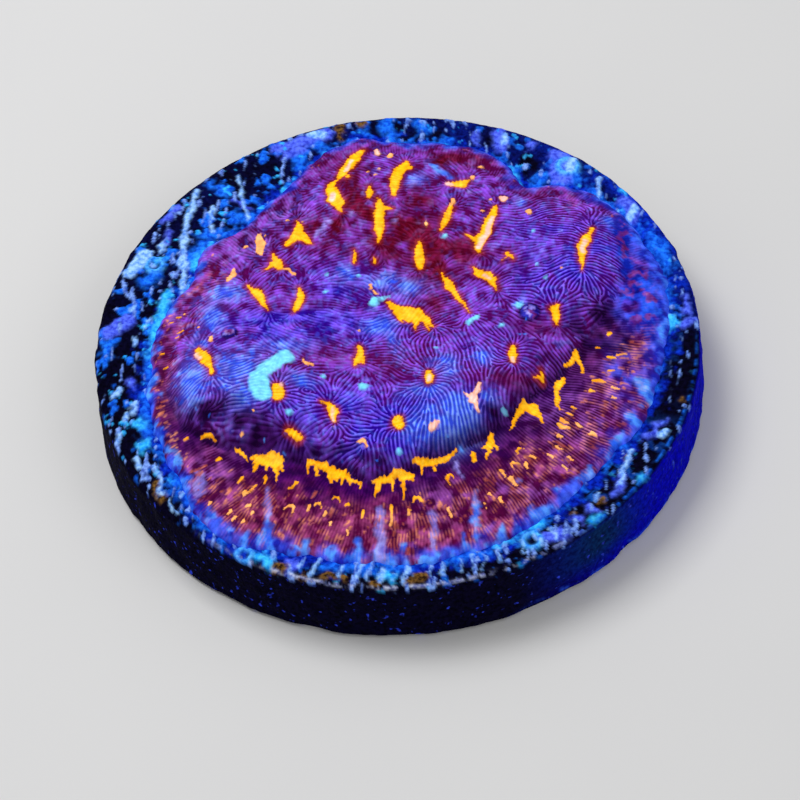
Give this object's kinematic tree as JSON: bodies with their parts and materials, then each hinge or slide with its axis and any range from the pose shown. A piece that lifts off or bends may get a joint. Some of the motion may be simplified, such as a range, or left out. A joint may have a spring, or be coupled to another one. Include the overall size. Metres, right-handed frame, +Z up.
{
  "type": "leptoseris coral on a frag disc",
  "caption": "Encrusting leptoseris coral: a lobed mound with scattered corallites and a thin lined skirt, grown over the top of a round ceramic frag disc that stands on its flat underside.",
  "frame": {"origin": "centre of the disc's flat underside", "axes": "+Z up, out of the disc's top; -Y towards the colony's steep front edge, where the picture is taken from"},
  "size_m": [0.0508, 0.0508, 0.0106],
  "materials": {
    "disc_ceramic": "dark unglazed ceramic, grown over with lilac and blue coralline crust on its top edge",
    "coral_tissue": "violet and crimson tissue over fine ridges, with bright orange corallites and a blue growing edge"
  },
  "bodies": {
    "root": {"frag_disc": "disc_ceramic", "coral_colony": "coral_tissue"}
  },
  "joints": []
}
